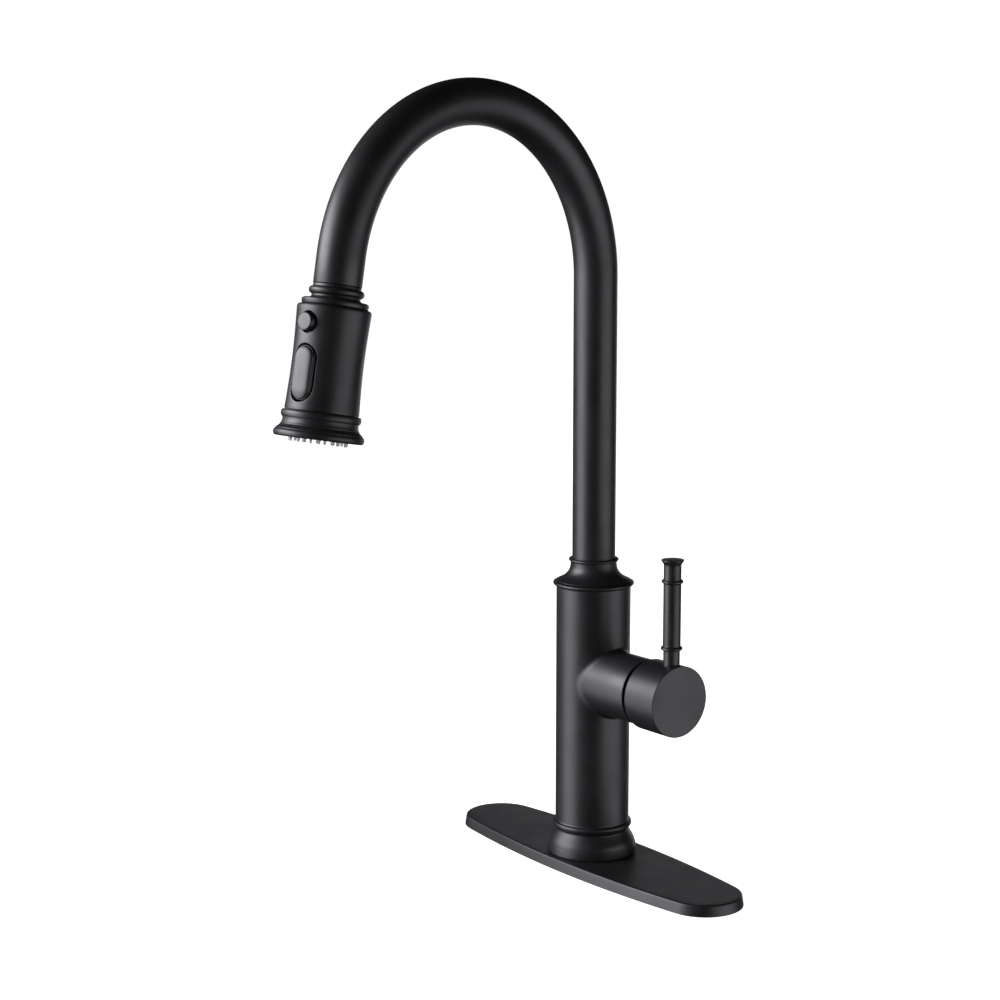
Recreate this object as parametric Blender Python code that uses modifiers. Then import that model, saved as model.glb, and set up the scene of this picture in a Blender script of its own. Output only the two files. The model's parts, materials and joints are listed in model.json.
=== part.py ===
"""Single-handle, high-arc, pull-down kitchen faucet on a deck plate.

Frame: the origin is on the body's axis where the deck plate's gasket meets the deck.
+Z is up, X runs along the deck plate and the handle is on the +X side.
The spout reaches towards -Y, turned a few degrees towards the handle.
Sizes are in millimetres and are turned into metres where geometry is made.
"""
import math

import bmesh
import bpy
from mathutils import Vector

MM = 0.001
GAP = 0.3                  # space between pieces that sit on each other

# body and base
BODY_R = 22.75
BODY_TOP = 177.6
BODY_BEAD_R = 24.75
BODY_FOOT = 22.2
FLANGE_R = 27.3
SWIVEL_BORE_R = 15.2
SWIVEL_FLOOR = 142.0
HOSE_BORE_R = 8.5
SHANK_TOP = 45.0

# deck plate
PLATE_L = 243.0
PLATE_W = 63.0
PLATE_END_R = 24.2
PLATE_T = 6.9
PLATE_SLOPE = 0.9          # how far the sloping side leans in
PLATE_SHIFT_X = 4.6
GASKET_T = 2.3

# below the deck
SHANK_R = 15.8
SHANK_BORE_R = 12.5
SHANK_FOOT = -62.0
DECK_MAX = 30.0

# spout
TUBE_R = 13.15
TUBE_WALL = 1.5
TUBE_FOOT = 143.3
ARC_Z = 362.5
ARC_R = 101.4
ARC_SWEEP = 169.7          # degrees
SPOUT_TURN = 8.0           # degrees from -Y towards +X
TUBE_END = 15.2            # straight run after the arc
HOSE_R = 6.0

# handle
HANDLE_Z = 117.0
BOSS_R = 20.0
BOSS_END = 51.0
BOSS_FILLET = 2.6
CAVITY_R = 17.7
CAVITY_FLOOR = 12.5
PIVOT_X = 42.0
HUB_R = 21.4
HUB_BACK = 54.5
HUB_FACE = 79.6
LEVER_X = 72.1
LEVER_TOP = 201.2

# spray head, measured down its own axis from the end of the arc
NOZZLE_TIP = 100.2
BUTTON_H = 36.9
BUTTON_R = 4.9
BUTTON_SPACE = 0.9         # between the button and its hole
ROCKER_H = 63.7
ROCKER_L = 29.2
ROCKER_W = 13.6
ROCKER_SPACE = 0.9
ROCKER_PIN_X = 15.6
HEAD_TURN = 7.0            # the head sits turned in its dock, its buttons towards the handle side

BLACK = (0.022, 0.022, 0.024)
DARK_PLASTIC = (0.035, 0.035, 0.037)
RUBBER = (0.02, 0.02, 0.02)
SILICONE = (0.62, 0.63, 0.64)
STEEL = (0.55, 0.56, 0.57)
BRASS = (0.62, 0.47, 0.22)
CERAMIC_WHITE = (0.75, 0.75, 0.72)
BRAID = (0.30, 0.30, 0.31)


# ---------------------------------------------------------------- helpers

def clear_scene():
    for ob in list(bpy.data.objects):
        bpy.data.objects.remove(ob, do_unlink=True)


def collection(name):
    made = bpy.data.collections.new(name)
    bpy.context.scene.collection.children.link(made)
    return made


def material(name, rgb, metallic, roughness):
    made = bpy.data.materials.new(name)
    made.use_nodes = True
    shader = made.node_tree.nodes["Principled BSDF"]
    shader.inputs["Base Color"].default_value = (*rgb, 1.0)
    shader.inputs["Metallic"].default_value = metallic
    shader.inputs["Roughness"].default_value = roughness
    return made


def placed(name, data, look, parent, at, turn):
    ob = bpy.data.objects.new(name, data)
    PARTS.objects.link(ob)
    ob.parent = parent
    ob.location = [v * MM for v in at]
    ob.rotation_euler = [math.radians(a) for a in turn]
    if look:
        data.materials.append(material(name, *look))
    return ob


def empty(name, parent=None, at=(0, 0, 0), turn=(0, 0, 0)):
    return placed(name, None, None, parent, at, turn)


def spin(ob, steps):
    mod = ob.modifiers.new("Spin", "SCREW")
    mod.axis = "Z"
    mod.angle = 2 * math.pi
    mod.steps = steps
    mod.render_steps = steps
    mod.use_merge_vertices = True
    mod.merge_threshold = 0.00001
    mod.use_smooth_shade = True


def turned(name, profile, look, parent=None, at=(0, 0, 0), turn=(0, 0, 0), steps=24, ring=False):
    """A lathe-turned piece: (radius, height) points, top to bottom on the outside."""
    mesh = bpy.data.meshes.new(name)
    edges = [(i, i + 1) for i in range(len(profile) - 1)]
    if ring:
        edges.append((len(profile) - 1, 0))
    mesh.from_pydata([(r * MM, 0, z * MM) for r, z in profile], edges, [])
    ob = placed(name, mesh, look, parent, at, turn)
    spin(ob, steps)
    return ob


def plain_ring(name, r_out, r_in, top, foot, look, **place):
    """A square-edged ring."""
    return turned(name, [(r_in, top), (r_out, top), (r_out, foot), (r_in, foot)], look,
                  ring=True, **place)


def bead(r_neck, r_bead, top, foot, count=4):
    """Half-round bead between two heights, as (radius, height) points from top to bottom."""
    points = []
    for i in range(count + 1):
        a = math.pi * i / count
        z = (top + foot) / 2 + math.cos(a) * (top - foot) / 2
        points.append((r_neck + (r_bead - r_neck) * math.sin(a), z))
    return points


def from_bmesh(name, bm, look, parent=None, at=(0, 0, 0), turn=(0, 0, 0)):
    bmesh.ops.recalc_face_normals(bm, faces=bm.faces)
    mesh = bpy.data.meshes.new(name)
    bm.to_mesh(mesh)
    bm.free()
    mesh.shade_smooth()
    mesh.set_sharp_from_angle(angle=math.radians(35))
    return placed(name, mesh, look, parent, at, turn)


def loft(bm, rings):
    """Skin a stack of equal-length point loops and close both ends."""
    loops = [[bm.verts.new(Vector(p) * MM) for p in ring] for ring in rings]
    for low, high in zip(loops, loops[1:]):
        for i in range(len(low)):
            j = (i + 1) % len(low)
            bm.faces.new((low[i], low[j], high[j], high[i]))
    bm.faces.new(loops[0][::-1])
    bm.faces.new(loops[-1])


def as_cutter(ob):
    PARTS.objects.unlink(ob)
    CUTTERS.objects.link(ob)
    ob.hide_render = True
    ob.display_type = "WIRE"
    return ob


def rod_cutter(name, radius, length, parent=None, at=(0, 0, 0), turn=(0, 0, 0), segments=24):
    """A cylinder centred on its place, along its own Z."""
    bm = bmesh.new()
    bmesh.ops.create_cone(bm, cap_ends=True, segments=segments, radius1=radius * MM,
                          radius2=radius * MM, depth=length * MM)
    return as_cutter(from_bmesh(name, bm, None, parent, at, turn))


def box_cutter(name, size, parent=None, at=(0, 0, 0), turn=(0, 0, 0)):
    bm = bmesh.new()
    bmesh.ops.create_cube(bm, size=1.0)
    bmesh.ops.scale(bm, vec=[s * MM for s in size], verts=bm.verts)
    return as_cutter(from_bmesh(name, bm, None, parent, at, turn))


def boolean(ob, tool, operation="DIFFERENCE"):
    mod = ob.modifiers.new(operation.title(), "BOOLEAN")
    mod.operation = operation
    mod.object = tool
    mod.solver = "EXACT"


def swept(name, points, radius, look, parent=None, wall=0.0, resolution=4):
    """A round bar or pipe along a path."""
    curve = bpy.data.curves.new(name, "CURVE")
    curve.dimensions = "3D"
    curve.resolution_u = 1
    curve.render_resolution_u = 0
    spline = curve.splines.new("POLY")
    spline.points.add(len(points) - 1)
    for slot, point in zip(spline.points, points):
        slot.co = (*(c * MM for c in point), 1.0)
    curve.bevel_depth = radius * MM
    curve.bevel_resolution = resolution
    curve.use_fill_caps = wall == 0.0
    ob = placed(name, curve, look, parent, (0, 0, 0), (0, 0, 0))
    if wall:
        mod = ob.modifiers.new("Wall", "SOLIDIFY")
        mod.thickness = wall * MM
        mod.offset = -1.0
    return ob


# ---------------------------------------------------------------- base and deck

def plate_outline(inset, z, count=9):
    """Long rounded outline: two shallow side arcs that run into two end arcs."""
    end_r = PLATE_END_R - inset
    half_l = PLATE_L / 2 - inset
    half_w = PLATE_W / 2 - inset
    run = half_l - end_r
    rise = half_w - end_r
    drop = (run * run - rise * rise) / (2 * rise)
    side_r = drop + half_w
    side_a = math.atan2(run, drop)
    quarter = []
    for i in range(count // 2):
        a = side_a * i / (count // 2)
        quarter.append((side_r * math.sin(a), side_r * math.cos(a) - drop))
    for i in range(count + 1):
        a = (math.pi / 2 - side_a) * (1 - i / count)
        quarter.append((run + end_r * math.cos(a), end_r * math.sin(a)))
    right = quarter + [(x, -y) for x, y in quarter[-2::-1]]
    whole = right + [(-x, y) for x, y in right[-2:0:-1]]
    return [(x + PLATE_SHIFT_X, y, z) for x, y in whole]


def make_base():
    bm = bmesh.new()
    loft(bm, [plate_outline(3.0, 2.6), plate_outline(3.0, 0.1), plate_outline(0.0, 0.1),
              plate_outline(PLATE_SLOPE, PLATE_T - 0.5), plate_outline(PLATE_SLOPE + 0.5, PLATE_T)])
    plate = from_bmesh("deck_plate", bm, (BLACK, 0.4, 0.42))
    boolean(plate, rod_cutter("plate_hole", SHANK_R + GAP, 30, segments=32))

    bm = bmesh.new()
    loft(bm, [plate_outline(3.0 + GAP, 0.0), plate_outline(3.0 + GAP, GASKET_T)])
    gasket = from_bmesh("plate_gasket", bm, (RUBBER, 0.0, 0.8))
    boolean(gasket, rod_cutter("gasket_hole", SHANK_R + 2 * GAP, 30))

    foot = PLATE_T + GAP
    turned("base_flange",
           [(SHANK_R + GAP, 21.9), (22.8, 21.9), (22.9, 21.3), (24.3, 18.8), (25.9, 16.0),
            (26.8, 13.8), (FLANGE_R, 12.0), (FLANGE_R, foot + 0.5), (FLANGE_R - 0.5, foot),
            (SHANK_R + GAP, foot)],
           (BLACK, 0.4, 0.42), steps=36, ring=True)


def make_below_deck():
    turned("threaded_shank",
           [(SHANK_BORE_R, SHANK_TOP - GAP), (SHANK_R, SHANK_TOP - GAP), (SHANK_R, SHANK_FOOT + 1),
            (SHANK_R - 1, SHANK_FOOT), (SHANK_BORE_R, SHANK_FOOT)],
           (BRASS, 0.9, 0.35), steps=32, ring=True)
    top = -DECK_MAX
    plain_ring("rubber_washer", 29.5, SHANK_R + GAP, top, top - 3.0, (RUBBER, 0.0, 0.8), steps=32)
    plain_ring("steel_washer", 29.0, SHANK_R + GAP, top - 3.3, top - 5.1, (STEEL, 0.9, 0.35),
               steps=32)
    nut_top = top - 5.4
    nut = turned("mounting_nut",
                 [(SHANK_R + GAP, nut_top), (27.5, nut_top), (27.5, nut_top - 6.0),
                  (19.8, nut_top - 6.6), (19.2, nut_top - 14.0), (SHANK_R + GAP, nut_top - 14.0)],
                 (BRASS, 0.9, 0.35), steps=32, ring=True)
    for side, label in ((-1, "a"), (1, "b")):
        x = 24.0 * side
        boolean(nut, rod_cutter("nut_screw_hole_" + label, 2.5, 20, at=(x, 0, nut_top - 3),
                                segments=14))
        turned("nut_screw_" + label,
               [(0, nut_top + 0.1), (2.2, nut_top + 0.1), (2.2, nut_top - 9.0), (3.6, nut_top - 9.0),
                (3.6, nut_top - 12.8), (1.6, nut_top - 12.8), (1.6, nut_top - 10.8),
                (0, nut_top - 10.8)],
               (STEEL, 0.9, 0.35), at=(x, 0, 0), steps=14)


# ---------------------------------------------------------------- body

def boss_rings(count=36):
    """The handle boss: a cylinder along X that flows into the body with a soft fillet."""
    spans = ((BOSS_END, BOSS_R - 0.8), (BOSS_END - 0.8, BOSS_R))
    steps = 5
    rings = [[] for _ in range(len(spans) + steps + 2)]
    for i in range(count):
        a = 2 * math.pi * i / count
        y, z = BOSS_R * math.sin(a), BOSS_R * math.cos(a)
        for ring, (x, r) in zip(rings, spans):
            ring.append((x, r * math.sin(a), HANDLE_Z + r * math.cos(a)))
        along = BODY_R * math.asin(y / BODY_R)
        size = math.hypot(along, z)
        grow = 1 + BOSS_FILLET / size
        turn = along * grow / BODY_R
        start = Vector((math.sqrt(BODY_R ** 2 - y ** 2) + 1.2 * BOSS_FILLET, y, z))
        end = Vector((BODY_R * math.cos(turn), BODY_R * math.sin(turn), z * grow))
        out = Vector((-math.sin(turn) * along / size, math.cos(turn) * along / size, z / size))
        pull = (end - start).length
        for k in range(steps + 1):
            t = k / steps
            p = ((2 * t ** 3 - 3 * t ** 2 + 1) * start + (3 * t ** 2 - 2 * t ** 3) * end
                 + (t ** 3 - 2 * t ** 2 + t) * pull * Vector((-1, 0, 0)) + (t ** 3 - t ** 2) * pull * out)
            if k == steps:
                p -= 0.2 * Vector((math.cos(turn), math.sin(turn), 0))
            rings[len(spans) + k].append((p.x, p.y, HANDLE_Z + p.z))
        rings[-1].append((3.0, 10 * math.sin(a), HANDLE_Z + 10 * math.cos(a)))
    return rings


def make_body():
    body = turned("body_shell",
                  [(0, BODY_TOP)] + bead(23.7, BODY_BEAD_R, BODY_TOP, 175.2)
                  + [(BODY_R, 174.4), (BODY_R, 28.7), (23.9, 27.4), (24.5, 26.3), (24.5, 24.6),
                     (23.2, 23.6), (22.8, 23.2), (22.8, BODY_FOOT), (0, BODY_FOOT)],
                  (BLACK, 0.4, 0.42), steps=40)
    bm = bmesh.new()
    loft(bm, boss_rings())
    boolean(body, as_cutter(from_bmesh("boss_solid", bm, None)), "UNION")
    bore = turned("body_bore",
                  [(0, BODY_TOP + 9), (SWIVEL_BORE_R, BODY_TOP + 9), (SWIVEL_BORE_R, SWIVEL_FLOOR),
                   (HOSE_BORE_R, SWIVEL_FLOOR), (HOSE_BORE_R, 60), (HOSE_R + 0.5, 60),
                   (HOSE_R + 0.5, SHANK_TOP), (SHANK_R + GAP, SHANK_TOP), (SHANK_R + GAP, 12), (0, 12)],
                  None, turn=(0, 0, 3), steps=32)
    boolean(body, as_cutter(bore))
    length = BOSS_END + 6 - CAVITY_FLOOR
    boolean(body, rod_cutter("cartridge_cavity", CAVITY_R, length,
                             at=(CAVITY_FLOOR + length / 2, 0, HANDLE_Z), turn=(0, 90, 0), segments=36))
    for angle, label in ((30, "hot_inlet"), (150, "cold_inlet"), (270, "mixed_outlet")):
        x = 9.7 * math.cos(math.radians(angle))
        y = 9.7 * math.sin(math.radians(angle))
        boolean(body, rod_cutter(label + "_socket", 2.6, 16, at=(x, y, SHANK_TOP), segments=14))
        turned(label + "_fitting",
               [(1.4, 52.6), (2.3, 52.6), (2.3, 34.0), (1.9, 33.0), (1.4, 33.0)],
               (BRASS, 0.9, 0.35), at=(x, y, 0), steps=14, ring=True)


def make_swivel():
    for top, label in ((176.0, "high"), (151.0, "low")):
        plain_ring("swivel_bushing_" + label, SWIVEL_BORE_R - GAP, TUBE_R + GAP, top, top - 6.5,
                   (DARK_PLASTIC, 0.0, 0.5), steps=32)
    for z, label in ((165.0, "high"), (158.0, "low")):
        ring = []
        for i in range(6):
            a = 2 * math.pi * i / 6
            ring.append((TUBE_R + 1.1 + 0.85 * math.sin(a), z + 0.85 * math.cos(a)))
        turned("swivel_seal_" + label, ring, (RUBBER, 0.0, 0.7), steps=24, ring=True)


def make_cartridge():
    side = dict(at=(0, 0, HANDLE_Z), turn=(0, 90, 0))
    floor = CAVITY_FLOOR + GAP
    body = turned("cartridge_body",
                  [(0, 36.0), (7.0, 36.0), (7.0, 38.2), (17.3, 38.2), (17.3, 24.0), (16.6, 23.6),
                   (16.6, 16.0), (17.3, 15.6), (17.3, floor), (0, floor)],
                  (CERAMIC_WHITE, 0.0, 0.45), steps=28, **side)
    for y, label in ((-8.0, "a"), (8.0, "b")):
        boolean(body, rod_cutter("cartridge_port_" + label, 3.0, 8, at=(floor, y, HANDLE_Z - 6),
                                 turn=(0, 90, 0), segments=14))
    turned("cartridge_nut",
           [(12.0, 46.0), (16.6, 46.0), (17.3, 45.3), (17.3, 38.5), (12.0, 38.5)],
           (BRASS, 0.9, 0.35), steps=28, ring=True, **side)
    turned("cartridge_dome",
           [(10.6, 54.2), (13.0, 53.7), (15.6, 52.2), (17.4, 49.4), (17.4, 46.3), (10.6, 46.3)],
           (BLACK, 0.6, 0.3), steps=36, ring=True, **side)


# ---------------------------------------------------------------- handle

def make_handle():
    temperature = empty("temperature_axis", at=(PIVOT_X, 0, HANDLE_Z))
    flow = empty("flow_axis", temperature)
    side = dict(turn=(0, 90, 0))
    half = 3.5
    rotor = turned("cartridge_rotor",
                   [(0, half), (11.7, half), (11.7, -half), (0, -half)],
                   (CERAMIC_WHITE, 0.0, 0.4), temperature, **side)
    boolean(rotor, box_cutter("rotor_slot", (20, 8.6, 12.4), temperature))
    boolean(rotor, rod_cutter("rotor_pin_hole", 1.8, 40, temperature, turn=(90, 0, 0),
                              segments=16))
    turned("rotor_pin", [(0, 10.8), (1.5, 10.8), (1.5, -10.8), (0, -10.8)],
           (STEEL, 0.9, 0.3), temperature, turn=(90, 0, 0), steps=16)

    bm = bmesh.new()
    section = [(28.4, 4.0), (28.4, -4.0)]
    for i in range(9):
        a = math.radians(-90 - 180 * i / 8)
        section.append((3.6 * math.cos(a), 4.0 * math.sin(a)))
    loft(bm, [[(x, y, z) for x, z in section] for y in (-4.0, 4.0)])
    stem = from_bmesh("cartridge_stem", bm, (STEEL, 0.9, 0.3), flow)
    boolean(stem, rod_cutter("stem_pin_hole", 1.58, 20, flow, turn=(90, 0, 0), segments=16))

    back = HUB_BACK - PIVOT_X
    face = HUB_FACE - PIVOT_X
    hub = turned("handle_hub",
                 [(0, face), (HUB_R - 0.8, face), (HUB_R, face - 0.7), (HUB_R, back + 0.5),
                  (HUB_R - 0.5, back), (18.8, back), (18.8, back + 7.5), (0, back + 7.5)],
                 (BLACK, 0.4, 0.42), flow, steps=40, **side)
    lever_x = LEVER_X - PIVOT_X
    boolean(hub, box_cutter("stem_socket", (20, 8.6, 8.6), flow, at=(18.7, 0, 0)))
    boolean(hub, rod_cutter("lever_socket", 5.2, 20, flow, at=(lever_x, 0, 20.0)))
    boolean(hub, rod_cutter("set_screw_hole", 2.3, 20, flow, at=(24.0, 0, -14.0), segments=14))
    turned("set_screw",
           [(0, -4.5), (2.0, -4.5), (2.0, -19.7), (1.0, -19.7), (1.0, -17.6), (0, -17.6)],
           (STEEL, 0.9, 0.3), flow, at=(24.0, 0, 0), steps=14)

    low = HANDLE_Z
    turned("lever_rod",
           [(0, 187.0 - low), (5.2, 187.0 - low)] + bead(5.2, 6.4, 149.4 - low, 147.2 - low)
           + [(4.9, 146.6 - low), (4.9, 10.2), (0, 10.2)],
           (BLACK, 0.4, 0.42), flow, at=(lever_x, 0, 0), steps=28)
    turned("lever_tip",
           [(0, LEVER_TOP - low), (6.5, LEVER_TOP - low), (6.7, 200.7 - low), (6.3, 199.9 - low),
            (5.4, 199.0 - low), (5.2, 198.3 - low)] + bead(5.2, 6.4, 189.5 - low, 187.3 - low)
           + [(0, 187.3 - low)],
           (BLACK, 0.4, 0.42), flow, at=(lever_x, 0, 0), steps=28)


# ---------------------------------------------------------------- spout

def spout_path(start_z, sweep, extra=0.0, count=22):
    """Centreline in the spout's own XZ plane: up, over and down."""
    points = [(0, 0, start_z), (0, 0, ARC_Z)]
    for i in range(1, count + 1):
        a = math.radians(sweep) * i / count
        points.append((ARC_R * (1 - math.cos(a)), 0, ARC_Z + ARC_R * math.sin(a)))
    if extra:
        a = math.radians(sweep)
        x, _, z = points[-1]
        points.append((x + extra * math.sin(a), 0, z + extra * math.cos(a)))
    return points


def make_dock(dock):
    plain_ring("dock_sleeve", TUBE_R - TUBE_WALL - GAP, 9.7, -2.0, 0.3 - TUBE_END,
              (DARK_PLASTIC, 0.0, 0.5), parent=dock)
    swept("hose_free_run", [(0, 0, 9.6), (0, 0, -7.6)], HOSE_R, (BRAID, 0.5, 0.5), dock, resolution=4)


def make_spout():
    spout = empty("spout_axis", turn=(0, 0, SPOUT_TURN - 90))
    swept("spout_tube", spout_path(TUBE_FOOT, ARC_SWEEP, TUBE_END), TUBE_R, (BLACK, 0.4, 0.42),
          spout, wall=TUBE_WALL, resolution=10)
    turned("spout_collar",
           [(TUBE_R + 0.2, 191.8)] + bead(14.1, 15.2, 191.8, 189.8)
           + [(14.1, 188.1), (14.6, 185.6), (15.9, 183.1), (18.0, 181.0), (20.6, 179.3),
              (22.9, BODY_TOP + 0.7), (22.9, BODY_TOP + GAP), (TUBE_R + 0.2, BODY_TOP + GAP)],
           (BLACK, 0.4, 0.42), spout, steps=32, ring=True)
    swept("pull_hose", spout_path(SHANK_FOOT + 4, ARC_SWEEP - 6.0), HOSE_R, (BRAID, 0.5, 0.5),
          spout, resolution=4)
    a = math.radians(ARC_SWEEP)
    dock = empty("dock_axis", spout, (ARC_R * (1 - math.cos(a)), 0, ARC_Z + ARC_R * math.sin(a)),
                 (0, ARC_SWEEP - 180, 0))
    make_dock(dock)
    return empty("spray_axis", dock, turn=(0, 0, HEAD_TURN))


# ---------------------------------------------------------------- spray head

def stadium(length, width, x, count=7):
    """Rounded-end outline in the head's YZ plane."""
    r = width / 2
    half = length / 2 - r
    points = []
    for end in (1, -1):
        for i in range(count + 1):
            a = math.pi * i / count
            points.append((x, end * r * math.cos(a), end * (half + r * math.sin(a))))
    return points


def make_head_body(head):
    turned("head_collar",
           [(7.4, -3.2), (8.6, -3.2), (9.4, -4.2), (9.4, -15.5), (12.9, -15.5)]
           + bead(13.2, 14.9, -17.0, -20.9)
           + [(13.6, -22.6), (17.3, -23.5), (18.1, -24.7), (17.6, -26.6), (12.1, -26.6),
              (12.1, -34.0), (7.4, -34.0)],
           (BLACK, 0.4, 0.42), head, steps=32, ring=True)
    turned("hose_connector",
           [(3.6, -8.0), (6.4, -8.0), (6.9, -8.6), (6.9, -33.6), (3.6, -33.6)],
           (BRASS, 0.9, 0.35), head, ring=True)
    plain_ring("hose_washer", 7.2, 3.6, -34.3, -36.3, (RUBBER, 0.0, 0.8), parent=head, steps=20)
    turned("diverter_core",
           [(3.6, -36.6), (12.4, -36.6), (12.4, -80.0), (17.2, -80.6), (17.2, -83.4), (3.6, -83.4)],
           (DARK_PLASTIC, 0.0, 0.5), head, steps=28, ring=True)

    shell = turned("head_shell",
                   [(12.4, -26.9), (18.6, -26.9), (19.6, -27.5), (20.0, -29.2), (19.4, -42.0),
                    (19.2, -56.0), (19.4, -70.0), (20.1, -83.2), (17.6, -83.2), (17.6, -30.0),
                    (12.4, -30.0)],
                   (BLACK, 0.4, 0.42), head, steps=40, ring=True)
    boolean(shell, rod_cutter("button_hole", BUTTON_R + BUTTON_SPACE, 14, head, at=(20, 0, -BUTTON_H),
                              turn=(0, 90, 0)))
    bm = bmesh.new()
    loft(bm, [stadium(ROCKER_L + 2 * ROCKER_SPACE, ROCKER_W + 2 * ROCKER_SPACE, x)
              for x in (13.0, 27.0)])
    boolean(shell, as_cutter(from_bmesh("rocker_hole", bm, None, head, at=(0, 0, -ROCKER_H))))
    boolean(shell, rod_cutter("rocker_pin_bore", 1.3, 20.2, head, at=(ROCKER_PIN_X, 0, -ROCKER_H),
                              turn=(90, 0, 0), segments=14))


def make_head_controls(head):
    button = empty("button_axis", head, at=(0, 0, -BUTTON_H))
    turned("pause_button",
           [(0, 22.3), (BUTTON_R - 0.7, 22.3), (BUTTON_R, 21.6), (BUTTON_R, 15.7), (6.6, 15.7),
            (6.6, 14.6), (0, 14.6)],
           (BLACK, 0.3, 0.4), button, turn=(0, 90, 0))

    rocker_axis = empty("rocker_axis", head, at=(ROCKER_PIN_X, 0, -ROCKER_H))
    bm = bmesh.new()
    inner, step, face = 13.8, 18.7, 20.4
    loft(bm, [[(x - ROCKER_PIN_X, y, z) for x, y, z in stadium(ROCKER_L - c, ROCKER_W - c, at)]
              for at, c in ((inner, 0.0), (step, 0.0), (step + 0.3, 0.6), (step + 0.6, 1.4),
                            (face - 0.5, 2.6), (face - 0.1, 5.4), (face, 8.4))])
    rocker = from_bmesh("rocker_toggle", bm, (BLACK, 0.3, 0.4), rocker_axis)
    boolean(rocker, rod_cutter("rocker_bore", 1.08, 30, rocker_axis, turn=(90, 0, 0), segments=14))
    turned("rocker_pin", [(0, 9.9), (1.0, 9.9), (1.0, -9.9), (0, -9.9)],
           (STEEL, 0.9, 0.3), head, at=(ROCKER_PIN_X, 0, -ROCKER_H), turn=(90, 0, 0), steps=14)


def nozzle_places():
    places = []
    for radius, count in ((15.4, 13), (11.0, 8)):
        for i in range(count):
            a = 2 * math.pi * i / count
            places.append((radius * math.cos(a), radius * math.sin(a)))
    return places


def make_head_face(head):
    turned("head_skirt",
           [(18.0, -83.5)] + bead(20.5, 21.6, -83.5, -87.6)
           + [(20.6, -89.6), (21.3, -91.6), (23.8, -93.8), (24.4, -94.8), (24.5, -96.2),
              (23.4, -98.0), (21.2, -97.6), (21.2, -91.0), (18.0, -91.0)],
           (BLACK, 0.4, 0.42), head, steps=36, ring=True)
    plain_ring("flow_plate", 17.7, 8.2, -83.8, -88.2, (DARK_PLASTIC, 0.0, 0.5), parent=head)
    pad = plain_ring("nozzle_pad", 20.8, 8.2, -91.3, -93.3, (SILICONE, 0.0, 0.5), parent=head, steps=32)
    face = plain_ring("face_plate", 20.8, 8.2, -93.6, -96.6, (DARK_PLASTIC, 0.0, 0.45), parent=head,
                     steps=32)
    tips = bmesh.new()
    holes = bmesh.new()
    for x, y in nozzle_places():
        made = bmesh.ops.create_cone(tips, cap_ends=True, segments=6, radius1=0.5 * MM,
                                     radius2=0.95 * MM, depth=(NOZZLE_TIP - 92.3) * MM)
        bmesh.ops.translate(tips, verts=made["verts"],
                            vec=Vector((x, y, -(NOZZLE_TIP + 92.3) / 2)) * MM)
        made = bmesh.ops.create_cone(holes, cap_ends=True, segments=6, radius1=1.45 * MM,
                                     radius2=1.45 * MM, depth=6 * MM)
        bmesh.ops.translate(holes, verts=made["verts"], vec=Vector((x, y, -95)) * MM)
    boolean(pad, as_cutter(from_bmesh("nozzle_tips", tips, None, head)), "UNION")
    boolean(face, as_cutter(from_bmesh("nozzle_holes", holes, None, head)))
    aerator = turned("aerator",
                     [(0, -84.4), (7.9, -84.4), (7.9, -96.9), (6.6, -96.9), (6.6, -95.6), (0, -95.6)],
                     (DARK_PLASTIC, 0.0, 0.5), head, steps=24)
    grid = bmesh.new()
    for i in range(-2, 3):
        for j in range(-2, 3):
            if abs(i) + abs(j) > 2:
                continue
            made = bmesh.ops.create_cube(grid, size=1.0)
            bmesh.ops.scale(grid, vec=Vector((1.5, 1.5, 6)) * MM, verts=made["verts"])
            bmesh.ops.translate(grid, vec=Vector((i * 2.2, j * 2.2, -95.6)) * MM, verts=made["verts"])
    boolean(aerator, as_cutter(from_bmesh("aerator_grid", grid, None, head)))


clear_scene()
PARTS = collection("parts")
CUTTERS = collection("cutters")
make_base()
make_below_deck()
make_body()
make_swivel()
make_cartridge()
make_handle()
spray_axis = make_spout()
make_head_body(spray_axis)
make_head_controls(spray_axis)
make_head_face(spray_axis)
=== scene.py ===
"""Looks of a matte black pull-down kitchen faucet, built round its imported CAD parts.

Lengths are in millimetres and become metres where a mesh is made. A turned piece is a list of
(radius, height) points. Heights are world heights for the body and spout, world X for what sits
on the handle boss, and minus the distance down the head's axis for the spray head.
"""
import json
import math

import bmesh
import bpy
from mathutils import Matrix, Vector


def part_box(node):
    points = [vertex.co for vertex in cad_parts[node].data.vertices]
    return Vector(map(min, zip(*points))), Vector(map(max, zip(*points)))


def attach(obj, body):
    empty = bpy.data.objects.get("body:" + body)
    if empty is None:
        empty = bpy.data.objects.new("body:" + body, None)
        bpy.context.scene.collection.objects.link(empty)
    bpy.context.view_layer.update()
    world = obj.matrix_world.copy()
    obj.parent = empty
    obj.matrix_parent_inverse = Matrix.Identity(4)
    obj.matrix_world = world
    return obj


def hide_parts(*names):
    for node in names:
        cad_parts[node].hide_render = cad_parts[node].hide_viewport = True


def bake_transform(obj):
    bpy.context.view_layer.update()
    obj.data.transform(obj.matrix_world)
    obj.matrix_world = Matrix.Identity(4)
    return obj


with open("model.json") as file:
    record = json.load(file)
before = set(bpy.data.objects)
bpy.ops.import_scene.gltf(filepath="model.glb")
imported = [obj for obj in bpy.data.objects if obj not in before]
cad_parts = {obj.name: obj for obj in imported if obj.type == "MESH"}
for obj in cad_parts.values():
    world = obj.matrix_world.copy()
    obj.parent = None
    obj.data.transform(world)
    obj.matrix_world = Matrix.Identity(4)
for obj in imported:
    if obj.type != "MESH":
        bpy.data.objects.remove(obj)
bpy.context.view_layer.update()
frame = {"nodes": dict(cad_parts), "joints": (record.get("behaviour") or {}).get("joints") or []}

MM = 0.001
STEPS = 192                # round a turned piece

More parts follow.
